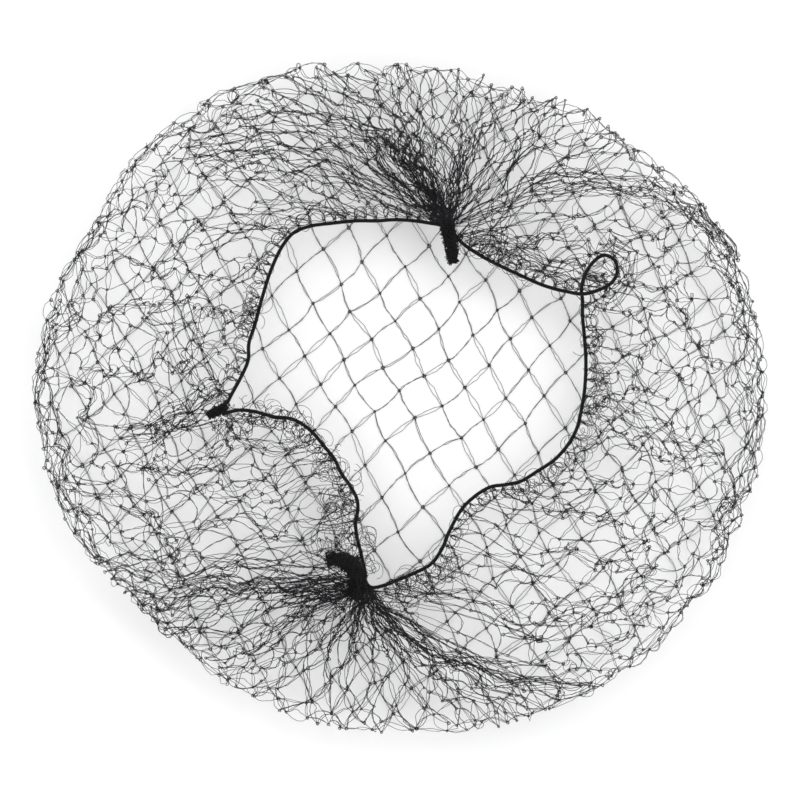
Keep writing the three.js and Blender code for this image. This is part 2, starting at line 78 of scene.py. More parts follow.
# A knot's curl of yarn: its turns, its radius, how much and how often that swings, how high and
# how often it rises, and how its size varies.
KNOT_STEPS = 12
KNOT_TURNS = 2
KNOT_RADIUS = 0.34
KNOT_SWING = (0.1, 2.5)
KNOT_RISE = (0.22, 1.5)
KNOT_SIZES = (0.8, 1.45)

# The sheet rolls out and up to its widest line, leans in and up to its crest, and comes back to
# the mouth: how far it rolls out and leans in, and the widest line's share of the crest's height.
ROLL = 12.0
SHOULDER = 26.0
WIDEST_HEIGHT_SHARE = 0.42

# Sheet for each millimetre from the widest line to the crest, away from the gathers and in them.
SIDE_SLACK = (2.4, 1.0)

# How far the sheet and its settled knots keep inside the section's outline, and the sheet under
# its crest, how low the middle of a filament and a knot may lie, and how high a knot's.
NET_INSET = 0.2
KNOT_INSET = 0.4
CREST_INSET = 1.0
LOWEST_FILAMENT = 0.11
FLOOR_CLEARANCE = 0.16
HIGHEST_KNOT = 31.0

# Shares of the way up the wall: where the flat middle ends, over how much more the knots come
# free, and where strands lift, where the surface for other layers, the folds' pull and the side
# and top pieces start.
FLAT_END = 0.02
FREE_OVER = 0.15
LIFT_START = 0.05
SURFACE_START = 0.2
FOLD_START = 0.3
PIECE_STARTS = (0.12, 0.55)

# The section every 15 degrees from X to Y: the radius of the outline seen from above, the height
# of the crest, and sheet for each millimetre from the crest to the mouth.
SECTION_COLUMNS = ("radius", "crest", "top_slack")
SECTIONS = [
    (104.2, 27, 1.7), (104.5, 27, 1.9), (103.2, 26, 2.0), (98.6, 25, 1.6),
    (98.6, 24, 0.84), (96.4, 23, 0.84), (96.2, 23, 0.84), (99.0, 24, 1.0),
    (102.0, 26, 1.2), (103.0, 28, 1.2), (101.4, 29, 1.7), (104.0, 29, 1.8),
    (104.8, 28, 1.9), (103.4, 26, 1.8), (99.0, 24, 1.5), (94.8, 23, 1.3),
    (95.8, 22, 0.9), (97.2, 22, 0.84), (96.4, 22, 0.84), (98.2, 23, 0.95),
    (100.0, 25, 1.3), (101.8, 26, 1.2), (102.8, 27, 1.6), (104.4, 27, 1.6),
]

# The elastic's route, as in the part's source: x, y, z, and a word where only the cord or only
# the net's edge passes.
CORD_ROUTE = [
    (-50.8, -4.6, 20.4, "cord"), (-48.8, -4, 19.4, "cord"), (-46.4, -3.5, 18, "cord"),
    (-46, -3.6, 16.6, "net"), (-42, -3.9, 16), (-36.5, -5.4, 14.9), (-32, -5.9, 14.5),
    (-28.8, -7.2, 14.2), (-25.5, -9.8, 13.9), (-21.8, -14.2, 13.5), (-19.2, -17.4, 13.3),
    (-17.3, -21.4, 13.1), (-14.4, -25.6, 13), (-12.7, -29, 13), (-12.4, -32.2, 13),
    (-13.1, -35.6, 13), (-12.6, -40, 13.2), (-11.4, -45, 13.8), (-10.3, -50, 14.9),
    (-10.2, -52.6, 15.4), (-8.6, -54.2, 15.6), (-5.6, -53.9, 15.2), (-1, -52.2, 14.6),
    (4.3, -50, 14), (8.6, -47.6, 13.5), (11.7, -43.4, 13.1), (14, -38, 12.8), (17.4, -32, 12.6),
    (21, -28.4, 12.5), (25.6, -25.6, 12.5), (30, -24.9, 12.5), (34.2, -24, 12.6),
    (39.2, -21, 12.8), (44.2, -17.6, 13), (48.2, -13, 13.2), (50.4, -8.8, 13.4),
    (51.7, -3.6, 13.6), (52.6, 2, 13.8), (53, 10, 14), (52.6, 17, 14.3), (52, 23.4, 14.6),
    (51.2, 28.4, 14.2, "net"), (51.8, 28, 17.8, "cord"), (51.4, 31, 20.2, "cord"),
    (52.1, 34.4, 22.8, "cord"), (54.2, 38.2, 25.2, "cord"), (57.4, 40.4, 26.4, "cord"),
    (60.4, 39, 26.8, "cord"), (61.2, 35.6, 26.6, "cord"), (59.6, 32.6, 25.4, "cord"),
    (56, 30.6, 23.2, "cord"), (51.6, 29.6, 20.8, "cord"), (47.2, 30.4, 18.2, "cord"),
    (43.6, 31.3, 16.2, "cord"), (46.4, 30.6, 14.2, "net"), (39.8, 32.6, 15.2), (34.4, 35, 15.2),
    (28, 38, 15.2), (22, 41.2, 15.6), (17.4, 44.4, 16.2), (13.4, 48.6, 16.6), (7, 50.2, 16.3),
    (-1, 51, 15.8), (-7, 50.7, 15.5), (-13, 50.7, 15.3), (-20, 50, 15.2), (-26, 49.2, 15.1),
    (-30.6, 47.4, 15), (-33.8, 43.8, 14.9), (-37.2, 36.8, 14.7), (-39.6, 29.4, 14.6),
    (-42, 20.6, 14.6), (-43.6, 15.6, 14.8), (-43.8, 10.8, 15.1), (-45.6, 6.4, 15.7),
    (-48.2, 1.4, 18, "cord"), (-47.8, 1.8, 16.8, "net"), (-49.6, -1.2, 19.6, "cord"),
    (-51.4, -2.4, 20.6, "cord"), (-48.2, -2, 16.9, "net"),
]
CORD_SAMPLES = 3000
MOUTH_SAMPLES = 2000

# The elastic's radius, and the pitch and depth of the ridges that its wrapping makes.
CORD_RADIUS = 0.52
WRAP_PITCH = 0.62
WRAP_DEPTH = 0.1
CORD_STEP = 0.13
CORD_SIDES = 12

# The gathers: the sheet's edge from one angle to another is bunched at a neck on the cord, and
# its strands' ends lie round the neck from one turn to another.
NAPE_GATHER = {"from": 238, "to": 290, "neck": (-12.6, -55.8, 15.8), "turn": (150, 350)}
BROW_GATHER = {"from": 412, "to": 466, "neck": (13.3, 49.4, 16.3), "turn": (-20, 170)}
GATHERS = (NAPE_GATHER, BROW_GATHER)

# The ends' radius round a neck from the innermost to the outermost one, how much higher the
# latter lies, and the ripple over the angles that deals the ends out between the two.
GATHER_RADIUS = (0.5, 1.9)
GATHER_RISE = 1.4
GATHER_RIPPLE = 2.7

# How far a gather is felt past its last strand, and over how many degrees it fades.
GATHER_OVERLAP = 5
GATHER_FADE = 14

# Where the sheet's edge starts again beside a neck, as a share of the way round the mouth, and
# how far outside the elastic's middle it is looped on.
NAPE_MARGIN = 0.004
BROW_MARGIN = 0.006
EDGE_OFFSET = 0.9

# The angle of the sheet from which its edge is gone round.
EDGE_START = 210

# Folds where the netting is bunched into dark lines, as lines on the plan, with how far they
# draw the knots in and how strongly.
RIGHT_FOLD = [(45.6, 62), (55.7, 61.4), (67.2, 59.7), (85.8, 52.5), (95.9, 39.6)]
LEFT_FOLD = [(-93.6, -23.5), (-83.5, -27.8), (-70.6, -30.7), (-69.7, -37.9), (-67.7, -46.5)]
FOLDS = [
    {"width": 8, "pull": 0.2, "line": [(12.6, 49.7), (8.3, 55.4), (4, 62.6), (-0.5, 71.2),
        (-8.6, 79.5), (-20, 84.5), (-38, 87)]},
    {"width": 5, "pull": 0.5, "line": [(14, 50), (18.4, 71.2), (28.4, 85.5)]},
    {"width": 5.5, "pull": 0.75, "line": RIGHT_FOLD},
    {"width": 6, "pull": 0.6, "line": [(-12, -56), (-34, -56.5), (-66, -55)]},
    {"width": 5, "pull": 0.65, "line": LEFT_FOLD + [(-57.7, -55.1), (-47.6, -47.9)]},
    {"width": 7, "pull": 0.4, "line": [(-11.8, -60.8), (-0.3, -73.8), (8.3, -76.6), (28.4, -78),
        (45.6, -75.2)]},
    {"width": 6, "pull": 0.6, "line": [(-69.2, -9.2), (-57.7, -0.6), (-50, -3)]},
    {"width": 7, "pull": 0.7, "line": [(-102.2, 8), (-100.7, -12), (-93.6, -26.4)]},
    {"width": 5, "pull": 0.6, "line": [(85.8, 52.5), (99, 19.5), (99, -9.2), (95, -35)]},
]

# The fans of pleats that run together at the necks: rows of knots from the mouth to the widest
# outline, and lines on the plan between the two, each with how many strands lie side by side
# between it and the next one. Their knots come free over the first share of the way out.
GUIDE_STEPS = 60
PLEAT_HOLD = 0.25
FANS = [
    {"name": "brow_pleats_up", "rows": 7, "lines": [
        (8, [(27.5, 41), (32, 49.5), (42, 59), (55, 66), (67, 74)]),
        (12, [(14.5, 49.5), (21, 57.5), (30, 68.5), (39.5, 78), (48, 86)]),
        (10, [(14, 50), (15, 59.5), (16, 71), (17, 83), (18.5, 93)]),
        (0, [(13, 50), (10, 57.5), (6, 67), (1, 81), (-3.5, 96)]),
    ]},
    {"name": "brow_pleats_left", "rows": 9, "lines": [
        (9, [(13, 50), (11, 57), (8.5, 65), (5, 78.5), (-0.5, 95.5)]),
        (8, [(13, 49.5), (8, 57), (3.5, 66.5), (-5, 78), (-24, 93.5)]),
        (6, [(13, 49.5), (5.5, 56.5), (-1, 65.5), (-16, 78), (-47, 82.5)]),
        (3, [(11, 49.5), (2, 55), (-8.5, 61.5), (-28, 68.5), (-61, 72)]),
        (0, [(5.5, 50.5), (-4.5, 55), (-18, 59.5), (-38, 64), (-67, 64)]),
    ]},
    {"name": "brow_bundle", "rows": 5, "lines": [
        (8, [(14, 50), (15.5, 54.5), (17.5, 59.5), (20.5, 65.5), (25, 71.5)]),
        (14, [(13, 50), (12, 55), (10.5, 60.5), (8.5, 67), (6, 75)]),
        (7, [(13, 49.5), (9, 55), (5, 60.5), (0, 67), (-8.5, 75)]),
        (0, [(13, 49.5), (8, 54), (2, 59), (-5, 63.5), (-15.5, 68)]),
    ]},
    {"name": "nape_pleats_left", "rows": 9, "lines": [
        (3, [(-14.5, -46.5), (-24, -45.5), (-45, -45.5), (-69, -46.5), (-89.5, -46.5)]),
        (13, [(-14.5, -55), (-24, -51.5), (-40, -49.5), (-64.5, -50), (-86.5, -51.5)]),
        (11, [(-14, -55.5), (-22, -55.5), (-35.5, -56.5), (-54, -61), (-69.5, -67.5)]),
        (0, [(-14, -56.5), (-16.5, -60.5), (-22.5, -70), (-33, -80), (-42, -87)]),
    ]},
    {"name": "nape_bundle", "rows": 4, "lines": [
        (11, [(-14.5, -55), (-18.5, -53.5), (-23, -52), (-29, -51.5), (-35.5, -50)]),
        (10, [(-14, -56), (-17.5, -57), (-21.5, -58.5), (-26, -60.5), (-31.5, -63)]),
        (6, [(-13, -56.5), (-13, -60.5), (-12.5, -65), (-12.5, -69.5), (-12, -74)]),
        (0, [(-12.5, -56.5), (-9.5, -60.5), (-6, -65), (-2, -69), (2.5, -72.5)]),
    ]},
    {"name": "nape_pleats_down", "rows": 6, "lines": [
        (6, [(-14, -56.5), (-16.5, -60.5), (-22.5, -70), (-33, -80), (-42, -87)]),
        (9, [(-13, -56.5), (-14, -63.5), (-14.5, -73), (-17, -86), (-18.5, -95)]),
        (0, [(-12.5, -56.5), (-6.5, -64.5), (1, -73), (10.5, -84), (19, -94.5)]),
    ]},
    {"name": "nape_pleats_right", "rows": 8, "lines": [
        (13, [(-12.5, -56.5), (-6.5, -65), (0.5, -74), (10, -85), (17.5, -95.5)]),
        (6, [(-11.5, -55.5), (-4.5, -63.5), (5.5, -72), (27.5, -77.5), (49.5, -86.5)]),
        (0, [(-11, -55.5), (-3, -62.5), (9, -70), (35.5, -75), (63.5, -80)]),
    ]},
]

# Creases: narrow bands of jammed netting on top of the wall, as a line on the plan, how wide the
# band is, and its strands side by side. Their rows of knots are a little closer than a strand is
# long, and vary across, along and in height.
CREASE_STEPS = 200
CREASE_ROW = 0.8 * STRAND_LENGTH
CREASE_SPREAD = (0.7, 1.3)
CREASE_JITTER = 1.2
CREASE_LIFT = 2.5
CREASES = [
    {"width": 7, "lanes": 8, "line": [(38, 60)] + RIGHT_FOLD},
    {"width": 6, "lanes": 4, "line": LEFT_FOLD + [(-63, -53)]},
    {"width": 7, "lanes": 9, "line": [(-78, -11), (-69.2, -9.2), (-57.7, -0.6), (-52, 3)]},
    {"width": 9, "lanes": 4, "line": [(-98.5, 30), (-101, 8), (-100, -12), (-95, -30),
        (-86, -48)]},
    {"width": 8, "lanes": 3, "line": [(84, 55), (97, 30), (100, 5), (98, -20), (90, -44)]},
    {"width": 6, "lanes": 7, "line": [(20, 46), (25, 46.5), (32, 42.5), (44, 36.5), (58, 33)]},
    {"width": 7, "lanes": 6, "line": [(57, -2), (63, -4), (68.6, -6.3), (75, -12), (82, -16),
        (90, -17)]},
    {"width": 6, "lanes": 5, "line": [(-70.5, -20), (-64, -23.5), (-56, -20), (-49, -13)]},
    {"width": 9, "lanes": 6, "line": [(-53, 4), (-58, 11), (-62, 19), (-64, 29)]},
    {"width": 12, "lanes": 6, "line": [(30, -66), (46, -64), (60, -59), (74, -51)]},
    {"width": 6, "lanes": 7, "line": [(58, 44), (64, 42), (65.5, 37), (62, 31), (58, 26)]},
    {"width": 15, "lanes": 9, "line": [(-12, 56), (-24, 66), (-38, 70), (-58, 66)]},
    {"width": 7, "lanes": 8, "line": [(-22, -40), (-20, -47), (-15, -52)]},
]

# Stretches of the elastic where the edge meshes' slack stands beside it in small curls: from one
# place on the plan to another along the elastic, how far the curls reach out, and how many. The
# rest says how they vary, with turns in radians.
CURL_STEPS = 14
CURL_OUT = (0.1, 1)
CURL_RISE = (-1.5, 3.0)
CURL_TURN = (2.6, 8.5)
CURL_RADIUS = (0.8, 2.6)
CURL_GROWTH = (-0.3, 0.6)
CURL_DRIFT = 1.6
CURL_TILT = 0.6
CURLS = [
    {"from": (-10.5, -50), "to": (-14.4, -25.6), "reach": 9, "count": 65},
    {"from": (-10.5, -50), "to": (-12.6, -40), "reach": -3, "count": 18},
    {"from": (-14.4, -25.6), "to": (-46, -3.6), "reach": 6, "count": 30},
    {"from": (-14.4, -25.6), "to": (-46, -3.6), "reach": -3, "count": 26},
    {"from": (11.7, -43.4), "to": (-5.6, -53.9), "reach": 7, "count": 55},
    {"from": (52.6, 17), "to": (50.4, -8.8), "reach": 6, "count": 45},
    {"from": (34.4, 35), "to": (17.4, 44.4), "reach": 5, "count": 30},
    {"from": (50.4, -8.8), "to": (30, -24.9), "reach": 5, "count": 30},
    {"from": (-43.6, 15.6), "to": (-39.6, 29.4), "reach": 4, "count": 18},
]

# The loops of the edge's meshes on the elastic: how many to a mesh, how long, and how they vary.
LOOP_COUNT = 3
LOOP_STEPS = 16
LOOP_LENGTH = (7.5, 11.0)
LOOP_TILT = 0.6
LOOP_TWIST = 0.05

# How far knots stray from the smooth bag: the size of slow waves and of each knot's own jitter
# along the axes, the waves' length and seed, and by what share a gather calms the two.
WALL_NOISE = {"waves": (2.6, 2.6, 1.8), "jitter": (1.5, 1.5, 1.9), "length": 42, "seed": 11,
              "calm": (0.3, 0.3)}
FLAT_NOISE = {"waves": (1.6, 1.6), "jitter": (0.65, 0.65), "length": 60, "seed": 21,
              "calm": (0, 0)}
PLEAT_NOISE = {"waves": (1.6, 1.6, 1.6), "jitter": (1.1, 1.1, 1.4), "length": 26, "seed": 41,
               "calm": (0.8, 0.7)}

# The tufts and the side knot: how wide they are, how much they narrow, how many strands and
# bristles they have, how far bristles stand out, and the middle line from the root to the tip.
TUFTS = [
    {"name": "brow_tail", "node": "brow_tuft", "width": 4.2, "taper": 0.05, "strands": 80,
     "bristles": 420, "reach": 1.1, "seed": 5,
     "line": [(13.1, 50.6, 16.7), (13.6, 46.6, 16.9), (14.4, 43.2, 16.2), (14.9, 38.6, 15.0)]},
    {"name": "nape_tail", "node": "nape_tuft", "width": 5.8, "taper": 0.25, "strands": 130,
     "bristles": 760, "reach": 1.3, "seed": 6,
     "line": [(-12.9, -56.9, 15.6), (-12.2, -52.0, 18.6), (-13.7, -48.0, 20.8),
              (-17.2, -45.9, 21.8), (-21.4, -46.1, 21.4)]},
    {"name": "side_tie", "node": "side_knot", "width": 2.5, "taper": 0.1, "strands": 40,
     "bristles": 220, "reach": 1.0, "seed": 7,
     "line": [(-49.6, -2.2, 19.8), (-51.6, -3.4, 20.4), (-53.6, -4.4, 20.6),
              (-55.0, -5.4, 20.4)]},
]

# A tuft's make: points along its core, its strands, its winding and a bristle, the yarn's and
# the wound thread's radius, and the winding's pitch and share of the half width.
TUFT_STEPS = 60
TUFT_STRAND_STEPS = 24
WIND_STEPS = 1200
BRISTLE_STEPS = 7
YARN_RADIUS = 0.13
WIND_RADIUS = 0.2
WIND_PITCH = 0.5
WIND_DEPTH = 0.86

# The camera: what the photo shows across at the height of the net's middle, the photo's middle on
# the plan, the net's middle height, how far above it the camera is, and its sensor.
IMAGE_WIDTH = 229.6
IMAGE_CENTRE = (-0.3, -0.6)
MIDDLE_HEIGHT = 13.0
CAMERA_HEIGHT = 1000.0
SENSOR_WIDTH = 36


# Curves and noise

def unit(vectors):
    """The same directions with a length of 1."""
    return vectors / np.maximum(norm(vectors, axis=-1, keepdims=True), 1e-9)


def bearing(points):
    """The angle from X to Y at which points of the plan lie."""
    return np.degrees(np.arctan2(points[:, 1], points[:, 0]))


def outwards_of(way):
    """The level direction to the right of a way, which is outwards for ways round the mouth."""
    return np.stack([way[..., 1], -way[..., 0], 0 * way[..., 0]], axis=-1)


def running_sum(steps):
    """The steps' running total, from 0."""
    return np.concatenate([[0], np.cumsum(steps)])


def length_of(points):
    """How long a line is."""
    return norm(np.diff(points, axis=0), axis=1).sum()


def blend(pair, share):
    """The value at a share of the way from one to another."""
    return pair[0] + share * (pair[1] - pair[0])


def between(points, marks, at):
    """A line read off between its points, which stand at the given marks."""
    return np.stack([np.interp(at, marks, column) for column in points.T], axis=1)


def resample(points, samples):
    """The same line with evenly spaced points."""
    marks = running_sum(norm(np.diff(points, axis=0), axis=1))
    return between(points, marks, np.linspace(0, marks[-1], samples))


def section(column, degrees):
    """One column of the section table at any angle, on a Catmull-Rom curve."""
    rows = np.array([row[SECTION_COLUMNS.index(column)] for row in SECTIONS], float)
    at = np.mod(degrees, 360) / (360 / len(rows))
    row = np.floor(at).astype(int)
    t = at - row
    a, b, c, d = (rows[(row + k) % len(rows)] for k in (-1, 0, 1, 2))
    return b + 0.5 * t * (c - a + t * (2 * a - 5 * b + 4 * c - d + t * (3 * (b - c) + d - a)))


def spline(points, closed, samples):
    """Evenly spaced points on a centripetal Catmull-Rom curve."""
    p = np.asarray(points, float)
    if closed:
        p = np.vstack([p[-1:], p, p[:2]])
    else:
        p = np.vstack([2 * p[:1] - p[1:2], p, 2 * p[-1:] - p[-2:-1]])
    span_steps = 24
    fine = []
    for k in range(1, len(p) - 2):
        near = p[k - 1:k + 3]
        marks = running_sum(norm(np.diff(near, axis=0), axis=1) ** 0.5)
        t = np.linspace(marks[1], marks[2], span_steps, endpoint=False)[:, None]

        def mix(low, high, from_mark, to_mark):
            share = (t - marks[from_mark]) / (marks[to_mark] - marks[from_mark])
            return low + (high - low) * share

        a = [mix(near[m], near[m + 1], m, m + 1) for m in range(3)]
        b = [mix(a[m], a[m + 1], m, m + 2) for m in range(2)]
        fine.append(mix(b[0], b[1], 1, 2))
    return resample(np.vstack(fine + [p[-2:-1]]), samples)


def plan_spline(line, samples):
    """Evenly spaced points on a curve through places on the plan."""
    return spline([(x, y, 0) for x, y in line], False, samples)


def waves(points, wavelength, seed):
    """Smooth noise between about -1 and 1 at points of the plane."""
    local = np.random.default_rng(seed)
    count = 6
    total = np.zeros(len(points))
    for _ in range(count):
        turn = local.uniform(0, math.tau)
        pitch = wavelength * local.uniform(0.7, 1.5)
        way = np.array([math.cos(turn), math.sin(turn)]) * math.tau / pitch
        total += np.sin(points[:, :2] @ way + local.uniform(0, math.tau))
    return total / (count / 2)


# The bag's shape

cord_path = spline([row[:3] for row in CORD_ROUTE if "net" not in row], False, CORD_SAMPLES)
mouth_path = spline([row[:3] for row in CORD_ROUTE if "cord" not in row], True, MOUTH_SAMPLES + 1)


def mouth_index(place):
    """Which point of the mouth's path is nearest to a place on the plan."""
    return np.argmin(np.hypot(mouth_path[:, 0] - place[0], mouth_path[:, 1] - place[1]))


def gather_points(gather, angle, spread):
    """Ends of the strands in a gather, packed round its neck."""
    share = (angle - gather["from"]) / (gather["to"] - gather["from"])
    turn = np.radians(blend(gather["turn"], share))
    radius = blend(GATHER_RADIUS, spread)
    x, y, z = gather["neck"]
    height = z + GATHER_RISE * (spread - 0.5)
    return np.stack([x + radius * np.cos(turn), y + radius * np.sin(turn), height], axis=1)


def mouth_points(degrees):
    """Where the sheet's edge ends up for angles of the sheet, and which of them are gathered."""
    angle = np.mod(degrees - NAPE_GATHER["from"], 360) + NAPE_GATHER["from"]
    spread = 0.5 + 0.5 * np.sin(angle * GATHER_RIPPLE)
    nape, brow = (mouth_index(gather["neck"]) / MOUTH_SAMPLES for gather in GATHERS)
    right = (nape + NAPE_MARGIN, brow - BROW_MARGIN)
    left = (brow + BROW_MARGIN, nape + (1 - NAPE_MARGIN))
    share_right = (angle - NAPE_GATHER["to"]) / (BROW_GATHER["from"] - NAPE_GATHER["to"])
    share_left = (angle - BROW_GATHER["to"]) / (NAPE_GATHER["from"] + 360 - BROW_GATHER["to"])
    on_right = angle < BROW_GATHER["to"]
    share = np.where(on_right, blend(right, share_right), blend(left, share_left))
    at = np.mod(share, 1) * MOUTH_SAMPLES
    index = at.astype(int) % MOUTH_SAMPLES
    along = unit(mouth_path[(index + 3) % MOUTH_SAMPLES] - mouth_path[index])
    points = between(mouth_path, np.arange(MOUTH_SAMPLES + 1), at)
    points += EDGE_OFFSET * outwards_of(along)
    gathered = np.zeros(len(angle), bool)
    for gather in GATHERS:
        here = (angle >= gather["from"]) & (angle <= gather["to"])
        points[here] = gather_points(gather, angle[here], spread[here])
        gathered |= here
    return points, gathered


def in_gather(degrees):
    """1 in the middle of a gather, 0 outside both, with soft ends."""
    most = np.zeros_like(degrees)
    for gather in GATHERS:
        middle = (gather["from"] + gather["to"]) / 2
        half = (gather["to"] - gather["from"]) / 2
        away = np.abs(np.mod(degrees - middle + 180, 360) - 180)
        most = np.maximum(most, np.clip((half + GATHER_OVERLAP - away) / GATHER_FADE, 0, 1))
    return most


def quarter_length(across, up):
    """About how long a quarter of an ellipse is."""
    return math.pi / 2 * np.sqrt((across ** 2 + up ** 2) / 2)


def wall_profile(degrees):
    """The bag's section at angles of the sheet: the radius, the crest's and the widest line's
    height, the crest's and the mouth's place, whether the mouth is gathered there, and the
    lengths of sheet that the three parts of the wall take up."""
    radius = section("radius", degrees) - NET_INSET
    crest = section("crest", degrees) - CREST_INSET
    widest = crest * WIDEST_HEIGHT_SHARE
    mouth, gathered = mouth_points(degrees)
    angle = np.radians(degrees)
    inner = radius - SHOULDER
    top = np.stack([np.cos(angle) * inner, np.sin(angle) * inner, crest], axis=1)
    lengths = np.stack([
        quarter_length(ROLL, widest),
        blend(SIDE_SLACK, in_gather(degrees)) * quarter_length(SHOULDER, crest - widest),
        section("top_slack", degrees) * norm(top - mouth, axis=1),
    ])
    return radius, crest, widest, top, mouth, gathered, lengths


def bag_points(sheet):
    """Where points of the flat sheet are on the lying bag, their share of the way up the wall,
    and which are in line with a gather."""
    reach = norm(sheet, axis=1)
    radius, crest, widest, top, mouth, gathered, lengths = wall_profile(bearing(sheet))
    climb = reach - (radius - ROLL)
    roll = np.clip(climb / lengths[0], 0, 1) * math.pi / 2
    lean = np.clip((climb - lengths[0]) / lengths[1], 0, 1) * math.pi / 2
    back = np.clip((climb - lengths[0] - lengths[1]) / lengths[2], 0, 1)
    rolled_out = radius - ROLL + ROLL * np.sin(roll) - SHOULDER * (1 - np.cos(lean))
    out = np.where(climb > 0, rolled_out, reach)
    height = widest * (1 - np.cos(roll)) + (crest - widest) * np.sin(lean)
    way = sheet / np.maximum(reach, 1e-6)[:, None]
    points = np.column_stack([way * out[:, None], height])
    points += (mouth - top) * back[:, None]
    points[:, 2] -= (mouth - top)[:, 2] * (back - (1 - np.cos(math.pi * back)) / 2)
    return points, np.clip(climb / lengths.sum(axis=0), 0, 1), gathered


def to_neck(points):
    """1 at the gathers' necks, and 0 far from them."""
    felt = 15
    gap = [np.hypot(*(points[:, :2] - gather["neck"][:2]).T) for gather in GATHERS]
    return np.exp(-(np.minimum(*gap) / felt) ** 2)


# Where the knots are

def lattice():
    """The sheet's knots, the strands between them, and which knots are on the sheet's edge."""
    span = range(-LATTICE_REACH, LATTICE_REACH + 1)
    cells = np.array([(i, j) for i in span for j in span])
    sheet = cells[:, :1] * STEP_A + cells[:, 1:] * STEP_B
    radius, *_, lengths = wall_profile(bearing(sheet))
    limit = radius - ROLL + lengths.sum(axis=0)
    inside = norm(sheet, axis=1) < limit
    cells, sheet, limit = cells[inside], sheet[inside], limit[inside]
    index = {tuple(cell): k for k, cell in enumerate(cells)}
    links = np.array([(k, index[other]) for (i, j), k in index.items()
                      for other in ((i + 1, j), (i, j + 1)) if other in index])
    on_rim = np.bincount(links.ravel(), minlength=len(cells)) < 4
    sheet[on_rim] *= (limit[on_rim] / norm(sheet[on_rim], axis=1))[:, None]
    return sheet, links, on_rim


def diamonds(index):
    """Strands from each knot to the next row's, from which knot is at which (lane, row)."""
    return np.array([(k, index[lane + way, row + 1]) for (lane, row), k in index.items()
                     for way in (-1, 1) if (lane + way, row + 1) in index])


def pleats(fan):
    """A fan's knots on the plan, the strands between them, each knot's share of the way out from
    the mouth, and the mouth's height at its lane."""
    rows = fan["rows"]
    lines = np.array([plan_spline(line, GUIDE_STEPS + 1) for _, line in fan["lines"]])
    starts = running_sum([count for count, _ in fan["lines"][:-1]])
    lanes = np.arange(starts[-1])
    index = np.searchsorted(starts, lanes, side="right") - 1
    share = ((lanes - starts[index]) / np.diff(starts)[index])[:, None, None]
    paths = lines[index] * (1 - share) + lines[index + 1] * share
    gap = norm(mouth_path[None, :, :2] - paths[:, :1, :2], axis=2)
    mouth = mouth_path[gap.argmin(axis=1)]
    fade = (1 - np.linspace(0, 1, GUIDE_STEPS + 1)) ** 3
    # A lane that starts on the elastic is moved less.
    off_elastic = np.minimum(1, 4 * gap.min(axis=1))[:, None, None]
    paths[..., :2] += (mouth - paths[:, 0])[:, None, :2] * fade[None, :, None] * off_elastic
    cells = [(lane, row) for row in range(rows + 1) for lane in lanes if (lane + row) % 2 == 0]
    index = {cell: k for k, cell in enumerate(cells)}
    out = np.array([row / rows for _, row in cells])
    points = np.array([paths[lane, round(GUIDE_STEPS * row / rows)] for lane, row in cells])
    return points, diamonds(index), out, np.array([mouth[lane, 2] for lane, _ in cells])


def creases():
    """The knots of the creases and the strands between them."""
    points = []
    links = []
    for crease in CREASES:
        path = plan_spline(crease["line"], CREASE_STEPS)
        rows = max(3, round(length_of(path) / CREASE_ROW))
        along = unit(np.gradient(path, axis=0))
        index = {}
        for row in range(rows + 1):
            k = round((CREASE_STEPS - 1) * row / rows)
            side = -outwards_of(along[k])
            for lane in range(row % 2, crease["lanes"], 2):
                index[lane, row] = len(points)
                across = crease["width"] * (lane / (crease["lanes"] - 1) - 0.5)
                across *= rng.uniform(*CREASE_SPREAD)
                points.append(path[k] + side * across + along[k] * rng.normal(0, CREASE_JITTER))
        links.append(diamonds(index))
    return np.array(points), np.vstack(links)


def lay_on(points, surface):
    """Heights at points of a surface that is known at scattered places."""
    softness = 1.5
    gap = norm(points[:, None, :2] - surface[None, :, :2], axis=2)
    weight = 1 / (gap + softness) ** 4
    return (weight * surface[:, 2]).sum(axis=1) / weight.sum(axis=1)


def wander(place, across, noise, free, gathered):
    """Moves free knots by waves over a plane and by their own jitter, less so in a gather."""
    for axis in range(len(noise["waves"])):
        wave = noise["waves"][axis] * waves(across, noise["length"], noise["seed"] + axis)
        place[:, axis] += wave * free * (1 - noise["calm"][0] * gathered)
        jitter = rng.normal(0, noise["jitter"][axis], len(place))
        place[:, axis] += jitter * free * (1 - noise["calm"][1] * gathered)


def draw_to_folds(points, free):
    """Draws free knots sideways towards the folds' lines."""
    for fold in FOLDS:
        line = np.array(fold["line"])
        best = np.full(len(points), np.inf)
        target = points[:, :2].copy()
        for a, b in zip(line[:-1], line[1:]):
            share = np.clip(((points[:, :2] - a) @ (b - a)) / ((b - a) @ (b - a)), 0, 1)
            near = a + share[:, None] * (b - a)
            away = norm(points[:, :2] - near, axis=1)
            closer = away < best
            best[closer] = away[closer]
            target[closer] = near[closer]
        pull = fold["pull"] * np.exp(-(best / fold["width"]) ** 2) * free
        points[:, :2] += (target - points[:, :2]) * pull[:, None]


